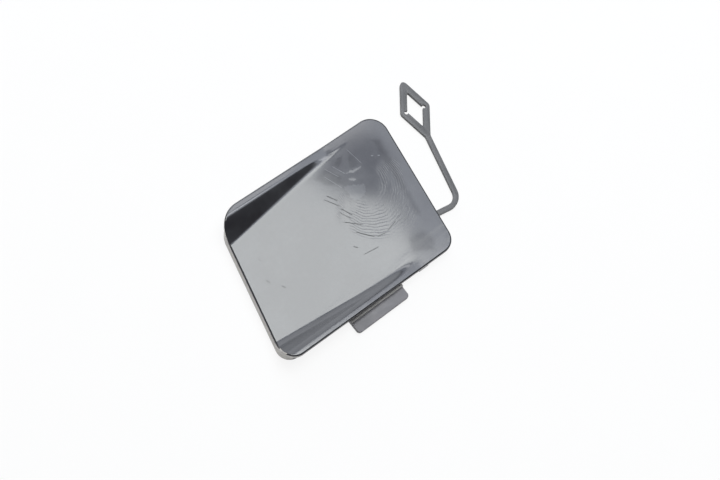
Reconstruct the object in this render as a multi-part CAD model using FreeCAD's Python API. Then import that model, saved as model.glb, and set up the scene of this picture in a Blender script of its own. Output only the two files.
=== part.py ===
import FreeCAD, Part
import math
import os

# Towing-eye cover for a car bumper, one injection moulding, in millimetres.
# The cover lies on its back. X runs along the two long edges towards the strap,
# Y runs across, and Z points out of the painted face. The origin is in the
# plane of the rim, in the middle of the cover.

# Outline of the painted face
COVER_LENGTH = 89.0
COVER_WIDTH = 67.0
FREE_END_SKEW = 13.0
STRAP_END_SKEW = 9.0
FREE_UPPER_RADIUS = 9.5
FREE_LOWER_RADIUS = 6.0
STRAP_UPPER_RADIUS = 8.0
STRAP_LOWER_RADIUS = 7.0
EDGE_BREAK = 0.55
FREE_END_DRAFT = 8.0

# Relief of the painted face: a flat trough between two flanks that rise
# towards the free end and fade out towards the strap end
FACE_HEIGHT = 6.0
FACE_CROWN = 0.25
STRAP_END_DROP = 0.9
DROP_START = 2.0
BAND_WIDTH = 3.0
UPPER_CREASE_OFFSET = 20.6
UPPER_FLANK_RISE = 5.2
UPPER_FLANK_END = 34.0
LOWER_CREASE_OFFSET = 23.4
LOWER_FLANK_RISE = 5.8
LOWER_FLANK_END = 16.0
CREASE_BLEND = 0.9
BAND_BLEND = 1.0

# Walls behind the face
SKIN_THICKNESS = 1.8
LIP_DEPTH = 2.6
LIP_OVERHANG = 1.6
RIM_THICKNESS = 1.8
RIB_THICKNESS = 1.2
RIB_HEIGHT = 1.6
RIB_OFFSET = 11.0

# Tongue that reaches behind the bumper on the lower long edge
TONGUE_CENTRE = -4.7
TONGUE_LENGTH = 27.5
TONGUE_REACH = 5.9
TONGUE_TOP = 2.6
TONGUE_THICKNESS = 2.0
TONGUE_RADIUS = 1.6
LEDGE_REACH = 0.9
LEDGE_HEIGHT = 1.5
LEDGE_BLEND = 0.9

# Locating nib beside the tongue
NIB_CENTRE = 22.5
NIB_LENGTH = 6.0
NIB_REACH = 0.7
NIB_TOP = 2.9
NIB_THICKNESS = 1.6

# Two sprung snap hooks in the rim on the upper long edge
HOOK_CENTRES = (-22.0, -2.0)
HOOK_WIDTH = 8.0
HOOK_REACH = 1.3
HOOK_BARB = 2.2
HOOK_NOSE = 0.55
PANEL_GAP = 2.6
HOOK_SLOT = 1.0
HOOK_SLOT_HEIGHT = 3.0

# Retaining strap with its diamond loop
STRAP_ROOT = -17.7
STRAP_LEAD = 12.5
STRAP_RUN = 46.0
STRAP_SLANT = 75.5
STRAP_WIDTH = 2.45
STRAP_THICKNESS = 1.6
STRAP_CLEARANCE = 0.3
STRAP_BEND = 5.8
LOOP_LENGTH = 32.4
LOOP_WIDTH = 14.2
LOOP_BAR = 3.0
LOOP_TIP_RADIUS = 1.6
LOOP_SIDE_RADIUS = 2.2
LOOP_NECK_RADIUS = 2.5
HOLE_RADIUS = 0.5
NOTCH_RADIUS = 0.85
NOTCH_OFFSET = 0.5

# Working margins of the cutting tools
MARGIN = 12.0
TOOL_HEIGHT = 40.0
OVERCUT = 1.0
CLOSE = 1e-6
STATIONS = 9


def vec(x, y, z=0.0):
    return FreeCAD.Vector(x, y, z)


def meet(point_a, along_a, point_b, along_b):
    """Point where two lines in the XY plane cross."""
    cross = along_a.x * along_b.y - along_a.y * along_b.x
    gap = point_b - point_a
    share = (gap.x * along_b.y - gap.y * along_b.x) / cross
    return point_a + along_a * share


def rounded_wire(corners, radii):
    """Closed wire through the corners, each rounded by its own radius."""
    count = len(corners)
    edges = []
    ends = []
    for i in range(count):
        corner = corners[i]
        back = (corners[i - 1] - corner).normalize()
        ahead = (corners[(i + 1) % count] - corner).normalize()
        half = 0.5 * back.getAngle(ahead)
        reach = radii[i] / math.tan(half)
        start = corner + back * reach
        end = corner + ahead * reach
        middle = None
        if radii[i] > 0:
            inward = (back + ahead).normalize()
            middle = corner + inward * (radii[i] / math.sin(half) - radii[i])
        ends.append((start, middle, end))
    for i in range(count):
        start, middle, end = ends[i]
        if middle is not None:
            edges.append(Part.Arc(start, middle, end).toShape())
        edges.append(Part.LineSegment(end, ends[(i + 1) % count][0]).toShape())
    return Part.Wire(edges)


def prism(wire, bottom, top):
    """Upright solid over a wire drawn at zero height."""
    solid = Part.Face(wire).extrude(vec(0, 0, top - bottom))
    solid.translate(vec(0, 0, bottom))
    return solid


def end_direction(skew):
    """Direction of an end edge, towards the upper long edge."""
    return vec(math.sin(math.radians(skew)), math.cos(math.radians(skew)))


def cover_wire(side_inset, free_inset, strap_inset):
    """Outline of the cover, moved inwards by an inset on each side."""
    half_length = COVER_LENGTH / 2
    half_width = COVER_WIDTH / 2 - side_inset
    free_along = end_direction(FREE_END_SKEW)
    strap_along = end_direction(STRAP_END_SKEW)
    free_point = vec(-half_length + free_inset / free_along.y, 0)
    strap_point = vec(half_length - strap_inset / strap_along.y, 0)
    long_along = vec(1, 0)
    upper = vec(0, half_width)
    lower = vec(0, -half_width)
    corners = [
        meet(lower, long_along, free_point, free_along),
        meet(lower, long_along, strap_point, strap_along),
        meet(upper, long_along, strap_point, strap_along),
        meet(upper, long_along, free_point, free_along),
    ]
    radii = [
        FREE_LOWER_RADIUS - min(side_inset, free_inset),
        STRAP_LOWER_RADIUS - min(side_inset, strap_inset),
        STRAP_UPPER_RADIUS - min(side_inset, strap_inset),
        FREE_UPPER_RADIUS - min(side_inset, free_inset),
    ]
    return rounded_wire(corners, radii)


def free_end_x(y):
    """Position of the free end's edge at a given place across the cover."""
    return -COVER_LENGTH / 2 + y * math.tan(math.radians(FREE_END_SKEW))


def strap_end_x(y):
    """Position of the strap end's edge at a given place across the cover."""
    return COVER_LENGTH / 2 + y * math.tan(math.radians(STRAP_END_SKEW))


class Flank:
    """One raised long side of the trough, on the side given by its sign."""

    def __init__(self, sign, crease, rise, end):
        self.sign = sign
        self.end = end
        self.crease_at_free_end = crease
        self.crest = COVER_WIDTH / 2 - BAND_WIDTH
        self.start = free_end_x(sign * self.crest)
        crease_start = free_end_x(sign * crease)
        self.crease_slope = (self.crest - crease) / (end - crease_start)
        self.rise_slope = rise / (end - self.start)

    def space_below(self, depth):
        """Upright wedge below the flank's plane, lowered by a wall's thickness."""
        floor = FACE_HEIGHT - depth
        crease = self.sign * self.crease_at_free_end
        crest = self.sign * self.crest
        corners = [
            vec(free_end_x(crease), crease, floor),
            vec(self.start, crest, floor + self.rise(self.start)),
            vec(self.end, crest, floor),
        ]
        plane = Part.Face(Part.makePolygon(corners + corners[:1]))
        return plane.extrude(vec(0, 0, -TOOL_HEIGHT / 2))

    def rise(self, x):
        """Height of the flank's crest over the trough."""
        return self.rise_slope * max(0.0, self.end - x)

    def crease(self, x):
        """Distance of the crease from the middle of the cover."""
        run = self.crease_slope * max(0.0, self.end - x)
        least = 2 * (CREASE_BLEND + BAND_BLEND)
        return self.crest - max(run, least)


UPPER_FLANK = Flank(1, UPPER_CREASE_OFFSET, UPPER_FLANK_RISE, UPPER_FLANK_END)
LOWER_FLANK = Flank(-1, LOWER_CREASE_OFFSET, LOWER_FLANK_RISE, LOWER_FLANK_END)


def trough_height(x):
    """Height of the trough floor beside the creases."""
    run = max(0.0, x - DROP_START) / (COVER_LENGTH / 2 - DROP_START)
    return FACE_HEIGHT - STRAP_END_DROP * run ** 2


def flank_section(flank, x):
    """Control points of one flank from its outer edge in to the trough."""
    floor = trough_height(x)
    top = floor + flank.rise(x)
    crease = flank.crease(x)
    slope = flank.rise(x) / (flank.crest - crease)
    outer = COVER_WIDTH / 2 + MARGIN
    rows = [
        (outer, top),
        (flank.crest + 2 * BAND_BLEND, top),
        (flank.crest, top),
        (flank.crest - 2 * BAND_BLEND, top - slope * 2 * BAND_BLEND),
        (crease + 2 * CREASE_BLEND, floor + slope * 2 * CREASE_BLEND),
        (crease, floor),
        (crease - 2 * CREASE_BLEND, floor),
    ]
    return [vec(x, flank.sign * y, z) for y, z in rows]


def section(x):
    """Control points of the face across the cover at one station."""
    lower = flank_section(LOWER_FLANK, x)
    upper = flank_section(UPPER_FLANK, x)
    crown = vec(0, 0, FACE_CROWN)
    middle = [
        lower[-1] * 0.75 + upper[-1] * 0.25 + crown,
        lower[-1] * 0.25 + upper[-1] * 0.75 + crown,
    ]
    return lower + middle + upper[::-1]


def face_surface():
    """Smooth skin of the painted face, wider than the cover on every side."""
    first = free_end_x(-COVER_WIDTH / 2) - MARGIN
    last = strap_end_x(COVER_WIDTH / 2) + MARGIN
    step = (last - first) / (STATIONS - 1)
    poles = [section(first + i * step) for i in range(STATIONS)]
    degree = 2

    def clamped(count):
        spans = count - degree
        mults = [degree + 1] + [1] * (spans - 1) + [degree + 1]
        return mults, [float(i) for i in range(spans + 1)]

    u_mults, u_knots = clamped(len(poles))
    v_mults, v_knots = clamped(len(poles[0]))
    surface = Part.BSplineSurface()
    surface.buildFromPolesMultsKnots(
        poles, u_mults, v_mults, u_knots, v_knots, False, False, degree, degree
    )
    return surface.toShape()


def air_above(face, drop):
    """Everything above the painted face, lowered by a wall's thickness."""
    air = face.extrude(vec(0, 0, TOOL_HEIGHT))
    air.translate(vec(0, 0, -drop))
    return air


def broken_block(face):
    """Solid under the painted face, with the face's outer edge broken."""
    block = prism(cover_wire(0, 0, 0), 0, TOOL_HEIGHT / 2).cut(air_above(face, 0))
    skins = [f for f in block.Faces if isinstance(f.Surface, Part.BSplineSurface)]
    top = max(skins, key=lambda f: f.Area)
    return block.makeChamfer(EDGE_BREAK, top.OuterWire.Edges)


def make_shell():
    """Painted face with its lip, and the rim that stands behind it."""
    face = face_surface()
    block = broken_block(face)
    top = TOOL_HEIGHT / 2
    lip = block.common(air_above(face, LIP_DEPTH))
    rim = block.common(prism(cover_wire(LIP_OVERHANG, 0, LIP_OVERHANG), 0, top))
    hollow = make_hollow()
    cuts = hollow.multiFuse([slots(), free_end_relief()])
    return lip.fuse(rim).cut(cuts).fuse(ribs(hollow))


def make_hollow():
    """Space behind the skin: level under the trough, with a wedge under each flank."""
    inner = LIP_OVERHANG + RIM_THICKNESS
    well = prism(cover_wire(inner, RIM_THICKNESS, inner), 0, TOOL_HEIGHT / 2)
    under_flanks = [flank.space_below(SKIN_THICKNESS) for flank in (UPPER_FLANK, LOWER_FLANK)]
    return well.common(under_trough().multiFuse(under_flanks))


def under_trough():
    """Everything under the trough's skin, drooping with it towards the strap end."""
    side = -COVER_WIDTH
    first = -COVER_LENGTH
    last = COVER_LENGTH
    middle = (DROP_START + last) / 2

    def skin(x):
        return vec(x, side, trough_height(x) - SKIN_THICKNESS)

    edges = [
        Part.LineSegment(vec(first, side), skin(first)),
        Part.LineSegment(skin(first), skin(DROP_START)),
        Part.Arc(skin(DROP_START), skin(middle), skin(last)),
        Part.LineSegment(skin(last), vec(last, side)),
        Part.LineSegment(vec(last, side), vec(first, side)),
    ]
    profile = Part.Face(Part.Wire([e.toShape() for e in edges]))
    return profile.extrude(vec(0, 2 * COVER_WIDTH, 0))


def free_end_relief():
    """Wedge that leans the free end's wall inwards below the face."""
    along = end_direction(FREE_END_SKEW)
    out = vec(-along.y, along.x)
    top = FACE_HEIGHT - EDGE_BREAK
    lean = top * math.tan(math.radians(FREE_END_DRAFT))
    foot = vec(-COVER_LENGTH / 2, 0) - along * COVER_WIDTH
    corners = [
        foot + vec(0, 0, top),
        foot - out * lean,
        foot + out * MARGIN,
        foot + out * MARGIN + vec(0, 0, top),
    ]
    profile = Part.Face(Part.makePolygon(corners + corners[:1]))
    return profile.extrude(along * (2 * COVER_WIDTH))


def box(x0, x1, y0, y1, z0, z1):
    return Part.makeBox(x1 - x0, y1 - y0, z1 - z0, vec(x0, y0, z0))


def ribs(hollow):
    """Two low stiffening ribs under the skin, along the cover."""
    bottom = FACE_HEIGHT - SKIN_THICKNESS - RIB_HEIGHT
    half = RIB_THICKNESS / 2
    bars = [
        box(-COVER_LENGTH, COVER_LENGTH, y - half, y + half, bottom, TOOL_HEIGHT / 2)
        for y in (-RIB_OFFSET, RIB_OFFSET)
    ]
    return bars[0].fuse(bars[1]).common(hollow)


def slots():
    """Relief slots that let each snap hook spring."""
    outer = COVER_WIDTH / 2 - LIP_OVERHANG
    inner = outer - RIM_THICKNESS
    cuts = []
    for centre in HOOK_CENTRES:
        for side in (-1, 1):
            x = centre + side * (HOOK_WIDTH + HOOK_SLOT) / 2
            x0 = x - HOOK_SLOT / 2
            x1 = x + HOOK_SLOT / 2
            cuts.append(box(x0, x1, inner - OVERCUT, outer + OVERCUT, -OVERCUT, HOOK_SLOT_HEIGHT))
    return cuts[0].multiFuse(cuts[1:])


def hooks():
    """Barbs of the snap hooks, one panel's thickness below the lip."""
    outer = COVER_WIDTH / 2 - LIP_OVERHANG
    barbs = []
    for centre in HOOK_CENTRES:
        lip_bottom = trough_height(centre) + UPPER_FLANK.rise(centre + HOOK_WIDTH / 2) - LIP_DEPTH
        shoulder = lip_bottom - PANEL_GAP
        x = centre - HOOK_WIDTH / 2
        corners = [
            vec(x, outer - RIM_THICKNESS / 2, shoulder),
            vec(x, outer + HOOK_REACH, shoulder),
            vec(x, outer + HOOK_REACH, shoulder - HOOK_NOSE),
            vec(x, outer, shoulder - HOOK_BARB),
            vec(x, outer - RIM_THICKNESS / 2, shoulder - HOOK_BARB),
        ]
        wire = Part.makePolygon(corners + corners[:1])
        barbs.append(Part.Face(wire).extrude(vec(HOOK_WIDTH, 0, 0)))
    return barbs


def tongue():
    """Tongue with a raised ledge along its root."""
    edge = -COVER_WIDTH / 2
    root = edge + LIP_OVERHANG + RIM_THICKNESS / 2
    x0 = TONGUE_CENTRE - TONGUE_LENGTH / 2
    x1 = TONGUE_CENTRE + TONGUE_LENGTH / 2
    tip = edge - TONGUE_REACH
    corners = [vec(x0, root), vec(x1, root), vec(x1, tip), vec(x0, tip)]
    wire = rounded_wire(corners, [0, 0, TONGUE_RADIUS, TONGUE_RADIUS])
    plate = prism(wire, TONGUE_TOP - TONGUE_THICKNESS, TONGUE_TOP)
    step = edge - LEDGE_REACH
    ledge = box(x0, x1, step, root, TONGUE_TOP, TONGUE_TOP + LEDGE_HEIGHT)
    solid = plate.fuse(ledge).removeSplitter()
    inside = [
        e for e in solid.Edges
        if abs(e.CenterOfMass.y - step) < CLOSE and abs(e.CenterOfMass.z - TONGUE_TOP) < CLOSE
    ]
    return solid.makeFillet(LEDGE_BLEND, inside)


def nib():
    """Locating nib under the lip beside the tongue."""
    edge = -COVER_WIDTH / 2
    return box(
        NIB_CENTRE - NIB_LENGTH / 2,
        NIB_CENTRE + NIB_LENGTH / 2,
        edge - NIB_REACH,
        edge + LIP_OVERHANG + RIM_THICKNESS / 2,
        NIB_TOP - NIB_THICKNESS,
        NIB_TOP,
    )


def strap():
    """Flat strap that leaves the strap end, turns, and ends in its loop."""
    normal = end_direction(STRAP_END_SKEW)
    out = vec(normal.y, -normal.x)
    root = vec(strap_end_x(STRAP_ROOT), STRAP_ROOT)
    bend = root + out * STRAP_LEAD
    slant = math.radians(STRAP_SLANT)
    along = vec(math.cos(slant), math.sin(slant))
    across = vec(along.y, -along.x)
    centre = bend + along * STRAP_RUN
    start = root - out * (LIP_OVERHANG + RIM_THICKNESS / 2)
    half = STRAP_WIDTH / 2
    lead_side = vec(out.y, -out.x) * half
    run_side = across * half

    top = centre + along * (LOOP_LENGTH / 2)
    bottom = centre - along * (LOOP_LENGTH / 2)
    right = centre + across * (LOOP_WIDTH / 2)
    left = centre - across * (LOOP_WIDTH / 2)
    corners = [
        start + lead_side,
        meet(root + lead_side, out, bend + run_side, along),
        meet(bend + run_side, along, bottom, right - bottom),
        right,
        top,
        left,
        meet(bend - run_side, along, bottom, left - bottom),
        meet(root - lead_side, out, bend - run_side, along),
        start - lead_side,
    ]
    radii = [
        0,
        STRAP_BEND + half,
        LOOP_NECK_RADIUS,
        LOOP_SIDE_RADIUS,
        LOOP_TIP_RADIUS,
        LOOP_SIDE_RADIUS,
        LOOP_NECK_RADIUS,
        STRAP_BEND - half,
        0,
    ]
    bottom_z = STRAP_CLEARANCE
    top_z = STRAP_CLEARANCE + STRAP_THICKNESS
    band = prism(rounded_wire(corners, radii), bottom_z, top_z)

    side = math.hypot(LOOP_LENGTH, LOOP_WIDTH) / 2
    inradius = LOOP_LENGTH * LOOP_WIDTH / 4 / side
    share = 1 - LOOP_BAR / inradius
    hole_corners = [centre + (p - centre) * share for p in (top, left, bottom, right)]
    hole = prism(rounded_wire(hole_corners, [HOLE_RADIUS] * 4), bottom_z - OVERCUT, top_z + OVERCUT)
    notches = []
    for sign, corner in ((-1, hole_corners[1]), (1, hole_corners[3])):
        middle = corner + across * (sign * NOTCH_OFFSET) + vec(0, 0, bottom_z - OVERCUT)
        notches.append(Part.makeCylinder(NOTCH_RADIUS, STRAP_THICKNESS + 2 * OVERCUT, middle))
    return band.cut(hole.multiFuse(notches))


def tow_hook_cover():
    """The whole moulding as one solid."""
    extras = [tongue(), nib(), strap()] + hooks()
    return make_shell().multiFuse(extras).removeSplitter()


os.makedirs("parts", exist_ok=True)
moulding = tow_hook_cover()
moulding.exportStep("parts/tow_hook_cover.step")
print("solids", len(moulding.Solids), "valid", moulding.isValid(), "volume", round(moulding.Volume, 1))
print("box", moulding.BoundBox)
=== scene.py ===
import logging
import math
from dataclasses import dataclass, field
from enum import Enum
from typing import Iterable, Optional, Union

import bmesh
import bpy
from mathutils import Matrix, Vector


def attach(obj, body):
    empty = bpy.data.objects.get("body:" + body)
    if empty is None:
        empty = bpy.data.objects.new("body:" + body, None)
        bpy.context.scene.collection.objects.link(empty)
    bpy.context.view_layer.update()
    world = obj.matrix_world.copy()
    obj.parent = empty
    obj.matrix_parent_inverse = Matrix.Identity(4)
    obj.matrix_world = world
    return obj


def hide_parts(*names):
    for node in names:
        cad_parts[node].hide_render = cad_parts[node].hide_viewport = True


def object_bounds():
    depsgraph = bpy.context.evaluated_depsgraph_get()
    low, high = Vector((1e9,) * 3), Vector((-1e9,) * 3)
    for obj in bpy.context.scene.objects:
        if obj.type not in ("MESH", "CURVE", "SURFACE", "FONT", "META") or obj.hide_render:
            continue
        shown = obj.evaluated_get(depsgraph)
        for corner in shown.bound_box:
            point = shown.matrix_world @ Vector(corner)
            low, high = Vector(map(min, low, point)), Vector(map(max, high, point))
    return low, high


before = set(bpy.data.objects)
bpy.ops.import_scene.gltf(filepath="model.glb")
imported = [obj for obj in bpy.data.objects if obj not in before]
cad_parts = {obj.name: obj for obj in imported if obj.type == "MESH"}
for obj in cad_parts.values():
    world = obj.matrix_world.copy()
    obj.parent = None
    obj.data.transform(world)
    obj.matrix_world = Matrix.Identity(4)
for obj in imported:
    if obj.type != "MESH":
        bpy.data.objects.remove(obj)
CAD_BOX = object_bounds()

# Looks of a towing-eye cover: a gloss-painted face on a satin moulding with a retaining strap.
# All sizes are in metres, in the part's own frame: X along the cover, Y across, Z out of the face.

LOG = logging.getLogger("tow_hook_cover")
MM = 0.001
NODE = "tow_hook_cover"
BODY = "root"
NEAR = 0.01 * MM
UP = Vector((0.0, 0.0, 1.0))
ORIGIN = Vector((0.0, 0.0, 0.0))

Socket = bpy.types.NodeSocket
Value = Union[Socket, float]


class Side(Enum):
    """Long sides of the cover, by the sign of Y."""

    UPPER = 1
    LOWER = -1


class End(Enum):
    """Ends of the cover, by the sign of X."""

    FREE = -1
    STRAP = 1


class Level(Enum):
    """What the height of a ring of the shell is measured from."""

    FACE = "face"
    RIM = "rim"


class Coat(Enum):
    """Material slots of the shell."""

    PAINT = 0
    PLASTIC = 1
    WALL = 2


def soft_ramp(value: float, blend: float) -> float:
    """Ramp that is zero below zero, with its corner rounded.

    Args:
        value: Distance past the corner.
        blend: Half length of the rounded stretch.

    Returns:
        The height of the ramp of slope one.
    """
    if value <= -blend:
        return 0.0
    if value >= blend:
        return value
    return (value + blend) ** 2 / (4.0 * blend)


@dataclass(frozen=True)
class Insets:
    """How far a ring lies inside the cover's outline on each side."""

    side: float = 0.0
    free: float = 0.0
    strap: float = 0.0

    @classmethod
    def even(cls, inset: float) -> "Insets":
        """The same inset all round."""
        return cls(inset, inset, inset)

    def at(self, end: End) -> float:
        """Inset of one end."""
        return self.free if end is End.FREE else self.strap


@dataclass(frozen=True)
class EndShape:
    """Slant of one end of the cover and the radii of its two round corners."""

    skew: float
    upper_radius: float
    lower_radius: float


@dataclass(frozen=True)
class CoverOutline:
    """Plan of the cover: two parallel long edges, two slanted ends and four round corners."""

    length: float = 88.99 * MM
    width: float = 67.0 * MM
    free: EndShape = EndShape(math.radians(13.0), 11.5 * MM, 6.0 * MM)
    strap: EndShape = EndShape(math.radians(9.0), 8.0 * MM, 7.0 * MM)

    def shape(self, end: End) -> EndShape:
        """Shape of one end."""
        return self.free if end is End.FREE else self.strap

    def edge_x(self, end: End, y: float) -> float:
        """Position of an end's straight edge at a place across the cover."""
        return end.value * self.length / 2 + y * math.tan(self.shape(end).skew)

    def row_end(self, end: End, y: float, insets: Insets) -> float:
        """End of a row along the cover.

        Args:
            end: The end of the cover.
            y: Place of the row across the cover.
            insets: Insets of the outline.

        Returns:
            The X of the row's end, with the corners rounded.
        """
        shape = self.shape(end)
        half = self.width / 2 - insets.side
        lean = insets.at(end) / math.cos(shape.skew)
        trim = min(insets.side, insets.at(end))
        for sign, corner in ((1, shape.upper_radius), (-1, shape.lower_radius)):
            radius = corner - trim
            centre_y = sign * (half - radius)
            centre_x = self.edge_x(end, centre_y) - end.value * (lean + radius / math.cos(shape.skew))
            touch = centre_y - end.value * radius * math.sin(shape.skew)
            if sign * (y - touch) > 0:
                return centre_x + end.value * math.sqrt(max(0.0, radius**2 - (y - centre_y) ** 2))
        return self.edge_x(end, y) - end.value * lean

    def place(self, along: float, across: float, insets: Insets) -> Vector:
        """Point of the plan for a point of a square patch.

        Args:
            along: Patch coordinate from -1 at the free end to 1 at the strap end.
            across: Patch coordinate from -1 at the lower edge to 1 at the upper edge.
            insets: Insets of the outline that the patch fills.

        Returns:
            The point in the plan, at zero height. Rows crowd towards the long edges.
        """
        y = (self.width / 2 - insets.side) * math.sin(across * math.pi / 2)
        left = self.row_end(End.FREE, y, insets)
        right = self.row_end(End.STRAP, y, insets)
        return Vector((left + (right - left) * (along + 1) / 2, y, 0.0))


@dataclass(frozen=True)
class Flank:
    """One raised long side, highest at the free end and fading out towards the strap end.

    Attributes:
        side: Long side that is raised.
        foot: Start of the low facet across the cover, at the free end.
        crease: Start of the steep part across the cover, at the free end.
        rise: Height of the crest at the free end.
        steep_end: Place along the cover where the steep part runs out.
        end: Place along the cover where the low facet runs out.
        band_width: Width of the level band between the crest and the long edge.
        least: Least width of the steep part.
        blend: Half length of the rounding at the crease.
    """

    side: Side
    foot: float
    crease: float
    rise: float
    steep_end: float
    end: float
    band_width: float
    least: float
    blend: float


@dataclass(frozen=True)
class Relief:
    """Height of the painted face over the plan."""

    outline: CoverOutline
    face_height: float = 6.0 * MM
    crown: float = 0.06 * MM
    crown_half: float = 22.0 * MM
    end_drop: float = 0.9 * MM
    drop_start: float = 2.0 * MM
    blend: float = 1.4 * MM
    fade: float = 3.0 * MM
    apron_slope: float = 0.07
    apron_blend: float = 0.5 * MM
    flanks: tuple[Flank, ...] = (
        Flank(
            side=Side.UPPER, foot=20.0 * MM, crease=21.4 * MM, rise=5.2 * MM, steep_end=19.0 * MM,
            end=36.0 * MM, band_width=3.6 * MM, least=0.9 * MM, blend=1.3 * MM,
        ),
        Flank(
            side=Side.LOWER, foot=23.4 * MM, crease=23.4 * MM, rise=5.8 * MM, steep_end=19.0 * MM,
            end=19.0 * MM, band_width=3.0 * MM, least=1.8 * MM, blend=1.4 * MM,
        ),
    )

    def flank_height(self, flank: Flank, x: float, y: float) -> float:
        """Height that one flank adds to the trough.

        Args:
            flank: The flank.
            x: Place along the cover.
            y: Place across the cover.

        Returns:
            The added height.
        """
        sign = flank.side.value
        crest = self.outline.width / 2 - flank.band_width
        start = self.outline.edge_x(End.FREE, sign * crest)
        crease_start = self.outline.edge_x(End.FREE, sign * flank.crease)
        rise = flank.rise / (flank.steep_end - start) * soft_ramp(flank.steep_end - x, self.fade)
        run = (crest - flank.crease) / (flank.steep_end - crease_start) * (flank.steep_end - x)
        width = flank.least + soft_ramp(run - flank.least, self.blend)
        crease = crest - width
        apron = (crest - flank.foot) / (flank.end - crease_start) * soft_ramp(flank.end - x, self.fade)
        foot = min(crease, crest - apron)
        out = sign * y
        steep = rise / width * (soft_ramp(out - crease, flank.blend) - soft_ramp(out - crest, self.blend))
        low = soft_ramp(out - foot, self.apron_blend) - soft_ramp(out - crease, self.apron_blend)
        return steep + self.apron_slope * low

    def height(self, x: float, y: float) -> float:
        """Height of the face.

        Args:
            x: Place along the cover.
            y: Place across the cover.

        Returns:
            The height over the plane of the rim.
        """
        run = max(0.0, x - self.drop_start) / (self.outline.length / 2 - self.drop_start)
        dome = max(0.0, 1.0 - (y / self.crown_half) ** 2) ** 2
        base = self.face_height - self.end_drop * run**2 + self.crown * dome
        return base + sum(self.flank_height(flank, x, y) for flank in self.flanks)


class ShaderSheet:
    """Node tree of one material, with short ways to add and join nodes."""

    def __init__(self, name: str) -> None:
        """Starts an empty material.

        Args:
            name: Name of the material.
        """
        self.material = bpy.data.materials.new(name)
        self.material.use_nodes = True
        self.tree = self.material.node_tree
        self.tree.nodes.clear()
        self.object_point: Optional[Socket] = None

    def add(self, kind: str, **settings: object) -> bpy.types.Node:
        """Adds a node.

        Args:
            kind: Type name of the node.
            settings: Properties of the node to set.

        Returns:
            The new node.
        """
        node = self.tree.nodes.new(kind)
        for name, setting in settings.items():
            setattr(node, name, setting)
        return node

    def feed(self, target: Socket, source: Union[Value, tuple[float, ...]]) -> None:
        """Joins a socket to a target, or sets the target's own value.

        Args:
            target: Input of a node.
            source: Output of a node, or a value.
        """
        if isinstance(source, bpy.types.NodeSocket):
            self.tree.links.new(source, target)
        else:
            target.default_value = source

    def point(self) -> Socket:
        """Object coordinates, from one node for the whole material.

        Returns:
            The coordinates of the shaded point.
        """
        if self.object_point is None:
            self.object_point = self.add("ShaderNodeTexCoord").outputs["Object"]
        return self.object_point

    def mapped(self, centre: Vector, turn: float, scale: tuple[float, float, float]) -> Socket:
        """Object coordinates moved to a centre, turned about Z and scaled.

        Args:
            centre: Point that becomes the origin.
            turn: Angle of the new X axis from the object's X axis.
            scale: Lengths that become one unit along each new axis.

        Returns:
            The mapped coordinates.
        """
        node = self.add("ShaderNodeMapping", vector_type="TEXTURE")
        node.inputs["Location"].default_value = centre
        node.inputs["Rotation"].default_value = (0.0, 0.0, turn)
        node.inputs["Scale"].default_value = scale
        self.feed(node.inputs["Vector"], self.point())
        return node.outputs["Vector"]

    def maths(self, operation: str, first: Value, second: Value = 0.0, clamp: bool = False) -> Socket:
        """Adds a Math node.

        Args:
            operation: Name of the operation.
            first: First number.
            second: Second number.
            clamp: Whether the result is kept between zero and one.

        Returns:
            The result.
        """
        node = self.add("ShaderNodeMath", operation=operation, use_clamp=clamp)
        self.feed(node.inputs[0], first)
        self.feed(node.inputs[1], second)
        return node.outputs[0]

    def fade(self, value: Value, low: float, high: float, start: float = 0.0, end: float = 1.0) -> Socket:
        """Smooth step of a value.

        Args:
            value: The value.
            low: Value that gives the start.
            high: Value that gives the end.
            start: Result at the low value.
            end: Result at the high value.

        Returns:
            The stepped value.
        """
        node = self.add("ShaderNodeMapRange", interpolation_type="SMOOTHSTEP")
        self.feed(node.inputs["Value"], value)
        node.inputs["From Min"].default_value = low
        node.inputs["From Max"].default_value = high
        node.inputs["To Min"].default_value = start
        node.inputs["To Max"].default_value = end
        return node.outputs["Result"]

    def noise(self, point: Socket, scale: float, detail: float = 2.0, roughness: float = 0.5) -> Socket:
        """Noise between zero and one.

        Args:
            point: Coordinates.
            scale: Cycles in one unit.
            detail: Number of finer layers.
            roughness: Share that each finer layer keeps.

        Returns:
            The noise value.
        """
        node = self.add("ShaderNodeTexNoise")
        self.feed(node.inputs["Vector"], point)
        node.inputs["Scale"].default_value = scale
        node.inputs["Detail"].default_value = detail
        node.inputs["Roughness"].default_value = roughness
        return node.outputs["Fac"]

    def split(self, point: Socket) -> tuple[Socket, Socket]:
        """Splits a point.

        Args:
            point: The point.

        Returns:
            Its first two coordinates.
        """
        node = self.add("ShaderNodeSeparateXYZ")
        self.feed(node.inputs[0], point)
        return node.outputs[0], node.outputs[1]

    def length(self, point: Socket) -> Socket:
        """Measures how far a point lies out in the plan.

        Args:
            point: The point.

        Returns:
            Its distance from the origin of the plan.
        """
        x, y = self.split(point)
        square = self.maths("ADD", self.maths("MULTIPLY", x, x), self.maths("MULTIPLY", y, y))
        return self.maths("SQRT", square)

    def stroke(self, centre: Vector, turn: float, length: float, width: float) -> Socket:
        """Mask of one short straight mark.

        Args:
            centre: Middle of the mark.
            turn: Angle of the mark from the X axis.
            length: Its length.
            width: Its width.

        Returns:
            One on the mark and zero away from it.
        """
        x, y = self.split(self.mapped(centre, turn, (length / 2, width / 2, 1.0)))
        ends = self.fade(self.maths("ABSOLUTE", x), 0.7, 1.0, 1.0, 0.0)
        sides = self.fade(self.maths("ABSOLUTE", y), 0.4, 1.0, 1.0, 0.0)
        return self.maths("MULTIPLY", ends, sides)

    def join(self, masks: Iterable[Socket]) -> Socket:
        """Joins masks.

        Args:
            masks: The masks.

        Returns:
            The mask of what any of them covers.
        """
        total: Value = 0.0
        for mask in masks:
            total = self.maths("MAXIMUM", mask, total)
        return total

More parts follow.
